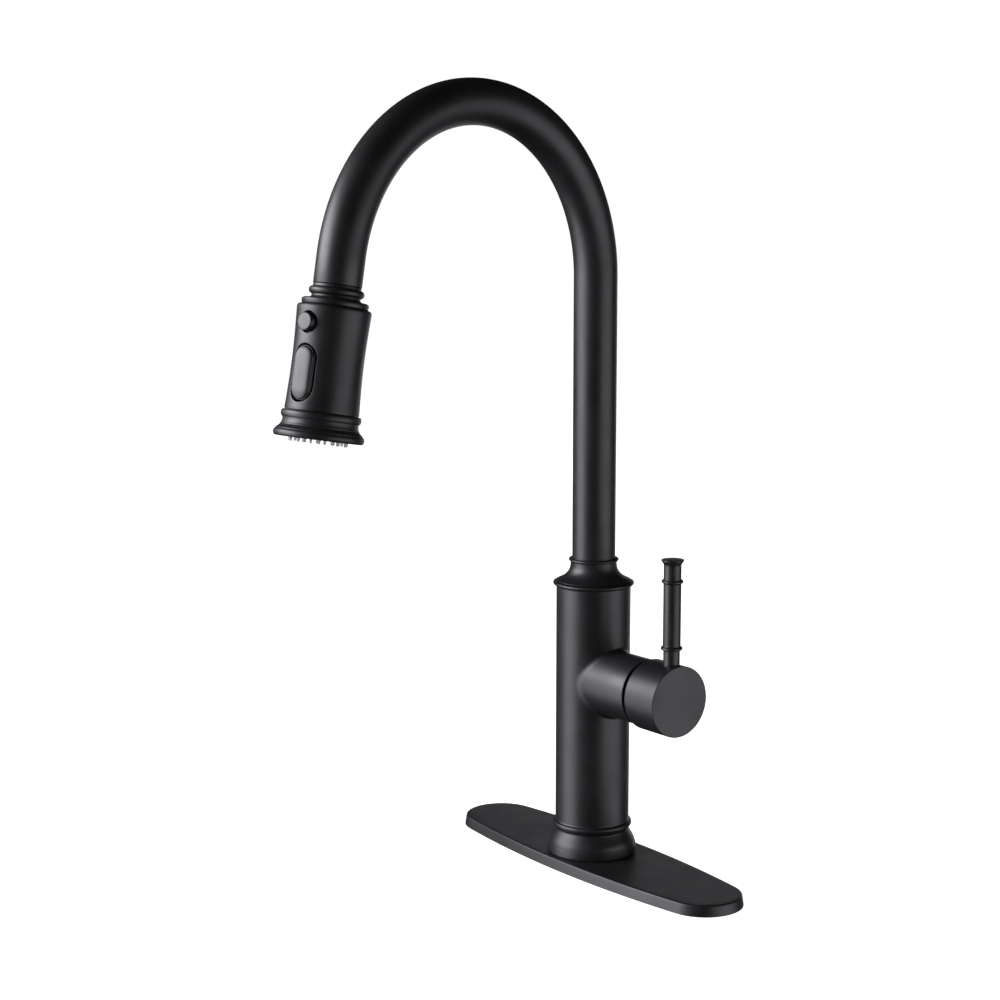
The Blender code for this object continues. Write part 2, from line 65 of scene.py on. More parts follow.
# sizes of the CAD parts that the finished surfaces follow
BODY_R, BODY_TOP, BODY_FOOT = 22.75, 177.6, 22.2
SWIVEL_BORE_R, SWIVEL_FLOOR, HOSE_BORE_R, SHANK_TOP = 15.2, 142.0, 8.5, 45.0
PLATE_L, PLATE_W, PLATE_END_R, PLATE_T, PLATE_SLOPE = 243.0, 63.0, 24.2, 6.9, 1.0
SHANK_R, SHANK_BORE_R, SHANK_FOOT, DECK_MAX = 15.8, 12.5, -62.0, 30.0
TUBE_R, TUBE_WALL, TUBE_FOOT = 13.15, 1.5, 143.3
ARC_Z, ARC_R, ARC_SWEEP, TUBE_END = 362.5, 101.4, math.radians(169.7), 15.2
HOSE_R, HOSE_TOP, HOSE_FOOT = 6.0, -9.6, 7.6
BOSS_R, BOSS_END, BOSS_FILLET, CAVITY_R, CAVITY_FLOOR = 20.0, 51.0, 2.6, 17.7, 12.5
HUB_R, HUB_BACK, HUB_FACE = 21.4, 54.5, 79.6
LEVER_X, LEVER_TOP = 72.1, 201.2
SHELL_R_TOP, SHELL_R_FOOT, SHELL_WAIST, SHELL_WALL_R = 20.0, 20.1, 0.85, 17.6
BUTTON_H, BUTTON_R, BUTTON_SPACE = 36.9, 4.9, 0.9
ROCKER_H, ROCKER_L, ROCKER_W, ROCKER_SPACE, ROCKER_PIN_X = 63.7, 29.2, 13.6, 0.9, 15.6
NOZZLE_TIP = 100.2

# the photograph's viewpoint, round the body's axis at a height of CAMERA_Z
CAMERA_TURN, CAMERA_RISE, CAMERA_AWAY, CAMERA_Z = 50.24, 9.28, 1.300, 0.220
CAMERA_HEADING, CAMERA_TILT, CAMERA_LENS = 52.80, 8.97, 76.74

# the studio: what the camera sees, how much the room itself lights, and the pale floor in metres
BACKGROUND, AMBIENT = 1.05, 0.02
FLOOR_GLOW, FLOOR_Z, FLOOR_FRONT, FLOOR_BACK, FLOOR_SIDE = 1.1, -0.0004, -0.225, 3.0, 2.5
LAMP_TINT, LAMP_AIM = (0.955, 0.94, 1.0), (0, 0, 0.24)
# name, direction and rise as seen from the faucet, distance, width, height and radiance
SOFTBOXES = (("left_softbox", CAMERA_TURN - 76, -2, 1.7, 1.3, 2.0, 4.2),
             ("high_softbox", CAMERA_TURN - 84, 21, 1.8, 1.6, 0.8, 8.6),
             ("right_softbox", CAMERA_TURN + 62, -15, 1.7, 1.9, 1.7, 2.0),
             ("back_strip", CAMERA_TURN + 165, -8, 1.8, 1.5, 1.0, 1.0))


# ------------------------------------------------------------------ places

def axes(origin, x, y, z):
    return Matrix.Translation(origin) @ Matrix((x, y, z)).transposed().to_4x4()


JOINTS = {j["name"]: j for j in frame["joints"]}
plate_lo, plate_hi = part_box("deck_plate")
PLATE_MID_X = (plate_lo.x + plate_hi.x) / 2 / MM
PIVOT = Vector(JOINTS["handle_flow"]["pos_m"])
HANDLE_Z = PIVOT.z / MM
DOWN = Vector(JOINTS["spray_pull"]["axis"]).normalized()
OUT = -Vector(JOINTS["pause_press"]["axis"]).normalized()
SIDE = Vector(JOINTS["rocker_tilt"]["axis"]).normalized()
HEAD_AT = (Vector(JOINTS["rocker_tilt"]["pos_m"]) - OUT * ROCKER_PIN_X * MM
           - DOWN * ROCKER_H * MM)
REACH = Vector((DOWN.x, DOWN.y, 0)).normalized()

UPRIGHT = Matrix.Identity(4)
ON_BOSS = axes(Vector((0, 0, PIVOT.z)), (0, 0, -1), (0, 1, 0), (1, 0, 0))
ON_LEVER = Matrix.Translation((LEVER_X * MM, 0, 0))
IN_SPOUT = axes(Vector((0, 0, 0)), REACH, (-REACH.y, REACH.x, 0), (0, 0, 1))
IN_HEAD = axes(HEAD_AT, OUT, SIDE, -DOWN)


def on_head(x, h):
    """A place h down the head's axis and x out of it, its own Z pointing out."""
    return IN_HEAD @ Matrix.Translation((x * MM, 0, -h * MM)) @ Matrix.Rotation(math.pi / 2, 4, "Y")


# ------------------------------------------------------------------ meshes

class Skin:
    """Collects points and faces; points that meet are welded when the piece is made."""

    def __init__(self):
        self.verts, self.faces = [], []

    def rings(self, rings, closed=False, loop=True):
        """Skin a stack of equal rings. closed joins the last to the first."""
        base, n = len(self.verts), len(rings[0])
        for ring in rings:
            self.verts.extend(tuple(p) for p in ring)
        for k in range(len(rings) if closed else len(rings) - 1):
            low, high = base + k * n, base + (k + 1) % len(rings) * n
            for i in range(n if loop else n - 1):
                j = (i + 1) % n
                self.faces.append((low + i, low + j, high + j, high + i))
        return self

    def cap(self, ring):
        base = len(self.verts)
        self.verts.extend(tuple(p) for p in ring)
        self.faces.append(tuple(range(base, base + len(ring))))
        return self

    def lathe(self, profile, closed=True, steps=STEPS, at=(0.0, 0.0)):
        rings = []
        for i in range(steps):
            c, s = math.cos(2 * math.pi * i / steps), math.sin(2 * math.pi * i / steps)
            rings.append([(at[0] + r * c, at[1] + r * s, z) for r, z in profile])
        return self.rings(rings, closed=True, loop=closed)


def piece(name, skin, place, body, look, nodes=(), sharp=40):
    """Makes the mesh, puts it in its place and has it ride on its body."""
    mesh = bpy.data.meshes.new(name)
    mesh.from_pydata([tuple(c * MM for c in v) for v in skin.verts], [], skin.faces)
    bm = bmesh.new()
    bm.from_mesh(mesh)
    bmesh.ops.remove_doubles(bm, verts=bm.verts, dist=2e-6)
    bmesh.ops.recalc_face_normals(bm, faces=bm.faces)
    bm.to_mesh(mesh)
    bm.free()
    mesh.transform(place)
    mesh.shade_smooth()
    mesh.set_sharp_from_angle(angle=math.radians(sharp))
    mesh.materials.append(look)
    ob = bpy.data.objects.new(name, mesh)
    bpy.context.scene.collection.objects.link(ob)
    if body:
        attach(ob, body)
    if nodes:
        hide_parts(*nodes)
    return ob


def carve(ob, skin, place):
    """Cuts a closed skin out of a piece for good."""
    tool = piece(ob.name + "_cut", skin, place, None, ob.data.materials[0])
    mod = ob.modifiers.new("Cut", "BOOLEAN")
    mod.operation, mod.solver, mod.object = "DIFFERENCE", "EXACT", tool
    graph = bpy.context.evaluated_depsgraph_get()
    cut = bpy.data.meshes.new_from_object(ob.evaluated_get(graph), depsgraph=graph)
    ob.modifiers.remove(mod)
    bpy.data.objects.remove(tool)
    cut.set_sharp_from_angle(angle=math.radians(40))
    ob.data = cut
    return ob


def rounded(points, radius=0.3, closed=True, steps=4):
    """Rounds the corners of a profile. A third number at a point is its own radius."""
    made = []
    for i, p in enumerate(points):
        here = Vector(p[:2])
        if not closed and i in (0, len(points) - 1):
            made.append(tuple(here))
            continue
        back = Vector(points[i - 1][:2]) - here
        ahead = Vector(points[(i + 1) % len(points)][:2]) - here
        turn = math.pi - back.angle(ahead)
        r = p[2] if len(p) > 2 else radius
        cut = min(r * math.tan(turn / 2), 0.48 * back.length, 0.48 * ahead.length)
        if turn < 0.03 or r == 0:
            made.append(tuple(here))
            continue
        start, end = here + back.normalized() * cut, here + ahead.normalized() * cut
        for k in range(steps + 1):
            t = k / steps
            made.append(tuple((1 - t) ** 2 * start + 2 * t * (1 - t) * here + t * t * end))
    return made


def flowing(points, steps=5):
    """A smooth curve through a run of profile points."""
    made = []
    for i in range(len(points) - 1):
        a, b, c, d = (Vector(points[min(max(j, 0), len(points) - 1)]) for j in range(i - 1, i + 3))
        for k in range(steps):
            t = k / steps
            p = 0.5 * (2 * b + (c - a) * t + (2 * a - 5 * b + 4 * c - d) * t * t
                       + (3 * b - a - 3 * c + d) * t ** 3)
            made.append(tuple(p))
    return made + [tuple(points[-1])]


def bead(r_neck, r_bead, top, foot, count=14):
    """Half-round bead between two heights, from top to bottom."""
    made = []
    for i in range(count + 1):
        a = math.pi * i / count
        made.append((r_neck + (r_bead - r_neck) * math.sin(a),
                     (top + foot) / 2 + math.cos(a) * (top - foot) / 2))
    return made


def circle(radius, z, steps, at=(0.0, 0.0)):
    angles = (2 * math.pi * i / steps for i in range(steps))
    return [(at[0] + radius * math.cos(a), at[1] + radius * math.sin(a), z) for a in angles]


def hexagon(flat, z, steps, at=(0.0, 0.0)):
    """Six-sided ring of as many points as a circle. flat is half the distance across its flats."""
    made = []
    for i in range(steps):
        a = 2 * math.pi * i / steps
        r = flat / math.cos((a + math.pi / 6) % (math.pi / 3) - math.pi / 6)
        made.append((at[0] + r * math.cos(a), at[1] + r * math.sin(a), z))
    return made


def stadium(radius, half, height, count=24):
    """Ring with round ends: half is half of its straight run along X."""
    made = []
    for end in (1, -1):
        for i in range(count + 1):
            a = -math.pi / 2 + math.pi * i / count
            made.append((end * (half + radius * math.cos(a)), end * radius * math.sin(a), height))
    return made


def plate_outline(inset, z, count=40):
    """Long rounded outline: two shallow side arcs that run into two end arcs."""
    end_r, half_l, half_w = PLATE_END_R - inset, PLATE_L / 2 - inset, PLATE_W / 2 - inset
    run, rise = half_l - end_r, half_w - end_r
    drop = (run * run - rise * rise) / (2 * rise)
    side_r, side_a = drop + half_w, math.atan2(run, drop)
    quarter = [(side_r * math.sin(side_a * i / count), side_r * math.cos(side_a * i / count) - drop)
               for i in range(count)]
    for i in range(count + 1):
        a = (math.pi / 2 - side_a) * (1 - i / count)
        quarter.append((run + end_r * math.cos(a), end_r * math.sin(a)))
    right = quarter + [(x, -y) for x, y in quarter[-2::-1]]
    whole = right + [(-x, y) for x, y in right[-2:0:-1]]
    return [(x + PLATE_MID_X, y, z) for x, y in whole]


def hole_ring(outline, radius, z):
    """The ring round the body's axis that faces an outline point for point."""
    made = []
    for x, y, _ in outline:
        k = radius / math.hypot(x, y)
        made.append((x * k, y * k, z))
    return made


# ------------------------------------------------------------------ walls with holes

COLUMN = 2 * math.pi / STEPS


def patch_rim(half_columns, low, high, rows):
    """(angle, height) points once round a patch of a round wall."""
    t, dz = half_columns * COLUMN, (high - low) / rows
    return ([(-t + COLUMN * i, low) for i in range(2 * half_columns)]
            + [(t, low + dz * i) for i in range(rows)]
            + [(t - COLUMN * i, high) for i in range(2 * half_columns)]
            + [(-t, high - dz * i) for i in range(rows)])


def aims(rim):
    """The direction in which each rim point lies from the patch's middle, the patch taken as square."""
    t = max(a for a, _ in rim)
    low, high = min(z for _, z in rim), max(z for _, z in rim)
    mid, half = (low + high) / 2, (high - low) / 2
    return [math.atan2((z - mid) / half, a / t) for a, z in rim]


def fill_patch(skin, hole, rim, radius_at, count=8):
    rings = []
    for k in range(count + 1):
        w = k / count
        ring = []
        for (a0, z0), (a1, z1) in zip(hole, rim):
            a, z = a0 + (a1 - a0) * w, z0 + (z1 - z0) * w
            ring.append((radius_at(z) * math.cos(a), radius_at(z) * math.sin(a), z))
        rings.append(ring)
    skin.rings(rings)


def fill_wall(skin, heights, radius_at, patches):
    """The rest of the round wall. A patch is (half its columns, low, high)."""
    for low, high in zip(heights, heights[1:]):
        mid = (low + high) / 2
        widest = max([p[0] for p in patches if p[1] < mid < p[2]], default=0)
        angles = [COLUMN * i for i in range(widest, STEPS - widest + 1)]
        skin.rings([[(radius_at(z) * math.cos(a), radius_at(z) * math.sin(a), z) for a in angles]
                    for z in (low, high)], loop=False)


def port_edge(rim, radius, half, mid, grow, depth, radius_at):
    """A stadium hole's edge on a round wall: half is half its straight run along the height.

    grow widens the outline, and depth sinks it into the wall, so that the edge can be rounded.
    """
    made = []
    for aim in aims(rim):
        y, z = radius * math.cos(aim), (radius + half) * math.sin(aim)
        spine = max(-half, min(half, z))
        for _ in range(12):              # slide to the outline along the ray from the middle
            if half == 0:
                k = radius / math.hypot(y, z)
            elif abs(z) > half:
                k = 1 + (radius - math.hypot(y, z - spine)) / math.hypot(y, z)
            else:
                k = radius / max(abs(y), 1e-9)
            y, z = y * k, z * k
            spine = max(-half, min(half, z))
        out_y, out_z = y / radius, (z - spine) / radius
        y, z = y + out_y * grow, z + out_z * grow
        r = radius_at(mid + z) - depth
        made.append((math.asin(max(-1, min(1, y / r))), mid + z, r))
    return made


# ------------------------------------------------------------------ materials

def tree_of(name):
    made = bpy.data.materials.new(name)
    made.use_nodes = True
    nodes, links = made.node_tree.nodes, made.node_tree.links
    return made, nodes, links, nodes["Principled BSDF"]


def noise(nodes, links, where, scale, detail=3.0, rough=0.55):
    made = nodes.new("ShaderNodeTexNoise")
    made.inputs["Scale"].default_value = scale
    made.inputs["Detail"].default_value = detail
    made.inputs["Roughness"].default_value = rough
    links.new(where, made.inputs["Vector"])
    return made.outputs["Fac"]


def ranged(nodes, links, value, lo, hi, out_lo, out_hi):
    made = nodes.new("ShaderNodeMapRange")
    made.inputs["From Min"].default_value, made.inputs["From Max"].default_value = lo, hi
    made.inputs["To Min"].default_value, made.inputs["To Max"].default_value = out_lo, out_hi
    links.new(value, made.inputs["Value"])
    return made.outputs["Result"]


def math_node(nodes, links, kind, a, b):
    made = nodes.new("ShaderNodeMath")
    made.operation = kind
    for slot, value in zip(made.inputs, (a, b)):
        if isinstance(value, (int, float)):
            slot.default_value = value
        else:
            links.new(value, slot)
    return made.outputs["Value"]


def mixed(nodes, links, factor, dark, light):
    made = nodes.new("ShaderNodeMix")
    made.data_type = "RGBA"
    links.new(factor, made.inputs[0])
    for slot, value in ((made.inputs[6], dark), (made.inputs[7], light)):
        if isinstance(value, tuple):
            slot.default_value = (*value, 1.0)
        else:
            links.new(value, slot)
    return made.outputs[2]


def finish_look(name, dark, light, roughness, grain_mm, grain_depth, metallic=0.0, worn=None,
                spread=0.05, specular=0.5, coat=0.0):
    """A surface with fine grain, patchy gloss and tone, and edges that have worn a little.

    grain_mm is the width of the fine grain and grain_depth its height, both in millimetres.
    """
    made, nodes, links, shader = tree_of(name)
    where = nodes.new("ShaderNodeTexCoord").outputs["Object"]
    cloud = noise(nodes, links, where, 45.0, 4.0, 0.6)
    grain = noise(nodes, links, where, 1 / (grain_mm * MM), 2.0, 0.5)
    colour = mixed(nodes, links, ranged(nodes, links, cloud, 0.3, 0.7, 0.0, 1.0), dark, light)
    rough = math_node(nodes, links, "ADD", ranged(nodes, links, cloud, 0.3, 0.7, roughness - spread,
                                                  roughness + spread),
                      ranged(nodes, links, grain, 0.3, 0.7, -0.03, 0.03))
    if worn:
        point = nodes.new("ShaderNodeNewGeometry").outputs["Pointiness"]
        edge = math_node(nodes, links, "MULTIPLY", ranged(nodes, links, point, 0.53, 0.62, 0.0, 0.6),
                         ranged(nodes, links, noise(nodes, links, where, 320.0), 0.42, 0.62, 0.0, 1.0))
        colour = mixed(nodes, links, edge, colour, worn)
        rough = math_node(nodes, links, "SUBTRACT", rough,
                          math_node(nodes, links, "MULTIPLY", edge, 0.12))
    links.new(colour, shader.inputs["Base Color"])
    links.new(rough, shader.inputs["Roughness"])
    bump = nodes.new("ShaderNodeBump")
    bump.inputs["Strength"].default_value = 1.0
    bump.inputs["Distance"].default_value = grain_depth * MM
    links.new(grain, bump.inputs["Height"])
    links.new(bump.outputs["Normal"], shader.inputs["Normal"])
    shader.inputs["Metallic"].default_value = metallic
    shader.inputs["Specular IOR Level"].default_value = specular
    if coat:
        shader.inputs["Coat Weight"].default_value = coat
        shader.inputs["Coat Roughness"].default_value = 0.3
    return made


def turned_metal(name, dark, light, roughness, axis, ring_mm=0.25):
    """Machined metal: fine tool rings across an axis, with patchy tone."""
    made, nodes, links, shader = tree_of(name)
    where = nodes.new("ShaderNodeTexCoord").outputs["Object"]
    apart = nodes.new("ShaderNodeMapping")
    apart.inputs["Scale"].default_value = [1.0 if a == axis else 0.02 for a in "XYZ"]
    links.new(where, apart.inputs["Vector"])
    rings = noise(nodes, links, apart.outputs["Vector"], 1 / (ring_mm * MM), 3.0, 0.7)
    cloud = noise(nodes, links, where, 80.0, 3.0)
    tone = math_node(nodes, links, "ADD", math_node(nodes, links, "MULTIPLY", rings, 0.5),
                     math_node(nodes, links, "MULTIPLY", cloud, 0.5))
    links.new(mixed(nodes, links, ranged(nodes, links, tone, 0.35, 0.65, 0.0, 1.0), dark, light),
              shader.inputs["Base Color"])
    links.new(ranged(nodes, links, tone, 0.3, 0.7, roughness - 0.08, roughness + 0.1),
              shader.inputs["Roughness"])
    bump = nodes.new("ShaderNodeBump")
    bump.inputs["Strength"].default_value = 0.6
    bump.inputs["Distance"].default_value = 0.01 * MM
    links.new(rings, bump.inputs["Height"])
    links.new(bump.outputs["Normal"], shader.inputs["Normal"])
    shader.inputs["Metallic"].default_value = 1.0
    return made


def braided(name, place, inward):
    """Braided sleeve: two crossing sets of strands that wind round an axis."""
    made, nodes, links, shader = tree_of(name)
    where = nodes.new("ShaderNodeTexCoord").outputs["Object"]
    own = nodes.new("ShaderNodeMapping")
    own.vector_type = "POINT"
    back = place.inverted()
    own.inputs["Location"].default_value = back.to_translation()
    own.inputs["Rotation"].default_value = back.to_euler()
    links.new(where, own.inputs["Vector"])
    split = nodes.new("ShaderNodeSeparateXYZ")
    links.new(own.outputs["Vector"], split.inputs["Vector"])
    angle = math_node(nodes, links, "ARCTAN2", split.outputs["Y"], split.outputs["X"])
    turns = math_node(nodes, links, "MULTIPLY", angle, 16 / (2 * math.pi))
    pitch = math_node(nodes, links, "MULTIPLY", split.outputs["Z"], 1 / (2.4 * MM))
    weave = []
    for kind in ("ADD", "SUBTRACT"):
        phase = math_node(nodes, links, kind, turns, pitch)
        wave = math_node(nodes, links, "MULTIPLY", phase, 2 * math.pi)
        weave.append(math_node(nodes, links, "COSINE", wave, 0.0))
    crossing = math_node(nodes, links, "MULTIPLY", weave[0], weave[1])
    height = math_node(nodes, links, "MAXIMUM", crossing,
                       math_node(nodes, links, "MULTIPLY", crossing, -0.7))
    fibre = noise(nodes, links, where, 4200.0, 2.0)
    whole = math_node(nodes, links, "ADD", height,
                      math_node(nodes, links, "MULTIPLY", fibre, 0.35))
    tone = ranged(nodes, links, whole, 0.1, 1.2, 0.0, 1.0)
    links.new(mixed(nodes, links, tone, (0.010, 0.010, 0.011), inward), shader.inputs["Base Color"])
    links.new(ranged(nodes, links, tone, 0.0, 1.0, 0.75, 0.45), shader.inputs["Roughness"])
    bump = nodes.new("ShaderNodeBump")
    bump.inputs["Strength"].default_value = 1.0
    bump.inputs["Distance"].default_value = 0.25 * MM
    links.new(whole, bump.inputs["Height"])
    links.new(bump.outputs["Normal"], shader.inputs["Normal"])
    return made


BLACK = finish_look("matte_black", (0.0066, 0.0068, 0.0076), (0.0092, 0.0095, 0.0104), 0.44,
                    0.22, 0.004, worn=(0.035, 0.034, 0.033))
BLACK_TRIM = finish_look("matte_black_trim", (0.0075, 0.0077, 0.0085), (0.0105, 0.0107, 0.0116), 0.40,
                         0.16, 0.003, worn=(0.035, 0.035, 0.034))
PLASTIC = finish_look("dark_plastic", (0.022, 0.022, 0.023), (0.032, 0.032, 0.033), 0.52,
                      0.35, 0.010)
RUBBER = finish_look("black_rubber", (0.010, 0.010, 0.010), (0.019, 0.018, 0.018), 0.78,
                     0.5, 0.012, spread=0.08)
SILICONE = finish_look("grey_silicone", (0.52, 0.53, 0.54), (0.66, 0.67, 0.68), 0.55,
                       0.4, 0.008)
CERAMIC = finish_look("cartridge_plastic", (0.60, 0.60, 0.57), (0.76, 0.76, 0.73), 0.45,
                      0.5, 0.006)
STEEL = turned_metal("turned_steel", (0.42, 0.42, 0.43), (0.62, 0.62, 0.63), 0.30, "Z")
STEEL_ACROSS = turned_metal("drawn_steel", (0.40, 0.40, 0.41), (0.60, 0.60, 0.61), 0.28, "X")
BRASS = turned_metal("turned_brass", (0.46, 0.31, 0.11), (0.66, 0.48, 0.20), 0.30, "Z")
BRASS_ACROSS = turned_metal("bored_brass", (0.46, 0.31, 0.11), (0.66, 0.48, 0.20), 0.32, "X")
BRAID = braided("braided_sleeve", IN_HEAD, (0.085, 0.085, 0.09))


# ------------------------------------------------------------------ base and deck

def make_base():
    side = rounded([(PLATE_SLOPE + 4.0, PLATE_T), (PLATE_SLOPE, PLATE_T, 1.4), (0.0, 0.12, 0.15),
                    (3.0, 0.12, 0.1), (3.0, 2.6)], closed=False, steps=6)
    rings = [plate_outline(inset, z) for inset, z in side]
    hole = SHANK_R + 0.3
    middle = [[tuple(Vector(p).lerp(Vector(q), t)) for p, q in
               zip(hole_ring(rings[0], hole, PLATE_T), rings[0])] for t in (0.0, 0.2, 0.5, 0.85)]
    skin = Skin().rings(middle + rings + [hole_ring(rings[0], hole, 2.6)], closed=True)
    piece("deck_plate_shell", skin, UPRIGHT, "base", BLACK, ["deck_plate"], sharp=50)

    edge = [plate_outline(3.4, 0.0), plate_outline(3.3, 0.2), plate_outline(3.3, 2.1),
            plate_outline(3.4, 2.3)]
    hole = SHANK_R + 0.6
    skin = Skin().rings([hole_ring(edge[0], hole, 0.0)] + edge + [hole_ring(edge[0], hole, 2.3)],
                        closed=True)
    piece("plate_gasket_pad", skin, UPRIGHT, "base", RUBBER, ["plate_gasket"])

    foot = PLATE_T + 0.3
    profile = (rounded([(16.1, foot), (16.1, 21.9), (22.7, 21.9, 0.2), (22.8, 21.5)], closed=False)
               + flowing([(22.9, 21.2), (23.6, 19.8), (24.7, 17.9), (25.8, 16.0), (26.5, 14.3),
                          (26.85, 12.7)])
               + [(26.86, 12.5), (26.9, 12.35), (27.1, 12.25), (27.2, 12.1)]
               + rounded([(27.25, 11.8), (27.3, foot, 0.5), (26.0, foot)], closed=False))
    piece("base_flange_ring", Skin().lathe(profile), UPRIGHT, "base", BLACK, ["base_flange"])


def make_below_deck():
    pitch, depth, rows = 2.0, 0.8, 6
    skin, rings = Skin(), []
    low, high, steps = SHANK_FOOT + 1.2, SHANK_TOP - 0.3, 72
    count = int((high - low) / pitch * rows)
    for k in range(count + 1):
        z = low + (high - low) * k / count
        fade = min(1.0, (z - low) / 2.0, (20.0 - z) / 2.0 if z > 18.0 else 1.0)
        ring = []
        for i in range(steps):
            a = 2 * math.pi * i / steps
            wave = abs(((z / pitch - i / steps) % 1.0) * 2 - 1)
            r = SHANK_R - depth * max(0.0, fade) * min(1.0, max(0.0, wave * 1.3 - 0.15))
            ring.append((r * math.cos(a), r * math.sin(a), z))
        rings.append(ring)
    for r, z in ((SHANK_BORE_R + 0.3, high), (SHANK_BORE_R, high - 0.3), (SHANK_BORE_R, low - 0.9),
                 (SHANK_BORE_R + 0.3, low - 1.2), (SHANK_R - 1.0, low - 1.2)):
        rings.append(circle(r, z, steps))
    skin.rings(rings, closed=True)
    piece("shank_thread", skin, UPRIGHT, "base", BRASS, ["threaded_shank"], sharp=30)

    top = -DECK_MAX
    for name, node, look, r_out, high, low in (
            ("rubber_washer_ring", "rubber_washer", RUBBER, 29.5, top, top - 3.0),
            ("steel_washer_ring", "steel_washer", STEEL, 29.0, top - 3.3, top - 5.1)):
        r_in = SHANK_R + 0.3
        profile = rounded([(r_in, high), (r_out, high), (r_out, low), (r_in, low)], 0.4)
        piece(name, Skin().lathe(profile, steps=128), UPRIGHT, "base", look, [node])
    nut_top = top - 5.4
    profile = rounded([(16.1, nut_top), (27.5, nut_top), (27.5, nut_top - 6.0, 0.8),
                       (19.8, nut_top - 6.6, 1.2), (19.2, nut_top - 14.0, 0.8),
                       (16.1, nut_top - 14.0)], 0.4)
    nut = piece("mounting_nut_body", Skin().lathe(profile, steps=128), UPRIGHT, "base", BRASS,
                ["mounting_nut"])
    for label, x in (("a", -24.0), ("b", 24.0)):
        hole = Skin().lathe([(0, nut_top + 3), (2.5, nut_top + 3), (2.5, nut_top - 12),
                             (0, nut_top - 12)], closed=False, steps=40, at=(x, 0))
        carve(nut, hole, UPRIGHT)
        screw_skin, rings = Skin(), []
        for k in range(46):
            z = nut_top - 9.0 + 9.1 * k / 45
            ring = []
            for i in range(32):
                a = 2 * math.pi * i / 32
                r = 2.2 - 0.3 * abs(((z / 0.8 - i / 32) % 1.0) * 2 - 1)
                ring.append((x + r * math.cos(a), r * math.sin(a), z))
            rings.append(ring)
        screw_skin.rings(rings).cap(rings[-1])
        head = [(2.2, nut_top - 9.0), (3.4, nut_top - 9.0), (3.6, nut_top - 9.2),
                (3.6, nut_top - 12.5), (3.3, nut_top - 12.8)]
        screw_skin.lathe(head, closed=False, steps=32, at=(x, 0))
        foot = nut_top - 12.8
        socket = [hexagon(1.5, foot, 32, (x, 0)), hexagon(1.5, foot + 2.0, 32, (x, 0))]
        screw_skin.rings([circle(3.3, foot, 32, (x, 0))] + socket).cap(socket[-1])
        piece("nut_screw_bolt_" + label, screw_skin, UPRIGHT, "base", STEEL, ["nut_screw_" + label],
              sharp=30)

    for label in ("hot_inlet", "cold_inlet", "mixed_outlet"):
        low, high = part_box(label + "_fitting")
        at = ((low.x + high.x) / 2 / MM, (low.y + high.y) / 2 / MM)
        profile = rounded([(1.4, 52.6), (2.3, 52.6), (2.3, 40.0, 0.2), (1.95, 39.6, 0.2),
                           (1.95, 38.8, 0.2), (2.3, 38.4, 0.2), (2.3, 34.0), (1.9, 33.0), (1.4, 33.0)],
                          0.15)
        piece(label + "_tail", Skin().lathe(profile, steps=48, at=at), UPRIGHT, "base", BRASS,
              [label + "_fitting"])


# ------------------------------------------------------------------ body

def boss_curve(a, steps=14):
    """The fillet from the boss to the body, at an angle round the boss.

    Gives its points, and its end as an angle round the body and a height.
    """
    y, z = BOSS_R * math.sin(a), BOSS_R * math.cos(a)
    along = BODY_R * math.asin(y / BODY_R)
    size = math.hypot(along, z)
    grow = 1 + BOSS_FILLET / size
    turn = along * grow / BODY_R
    start = Vector((math.sqrt(BODY_R ** 2 - y ** 2) + 1.2 * BOSS_FILLET, y, z))
    end = Vector((BODY_R * math.cos(turn), BODY_R * math.sin(turn), z * grow))
    out = Vector((-math.sin(turn) * along / size, math.cos(turn) * along / size, z / size))
    pull = (end - start).length
    points = []
    for k in range(steps + 1):
        t = k / steps
        p = ((2 * t ** 3 - 3 * t ** 2 + 1) * start + (3 * t ** 2 - 2 * t ** 3) * end
             + (t ** 3 - 2 * t ** 2 + t) * pull * Vector((-1, 0, 0)) + (t ** 3 - t ** 2) * pull * out)
        points.append((p.x, p.y, HANDLE_Z + p.z))
    return points, (turn, HANDLE_Z + z * grow)


def body_radius(_):
    return BODY_R


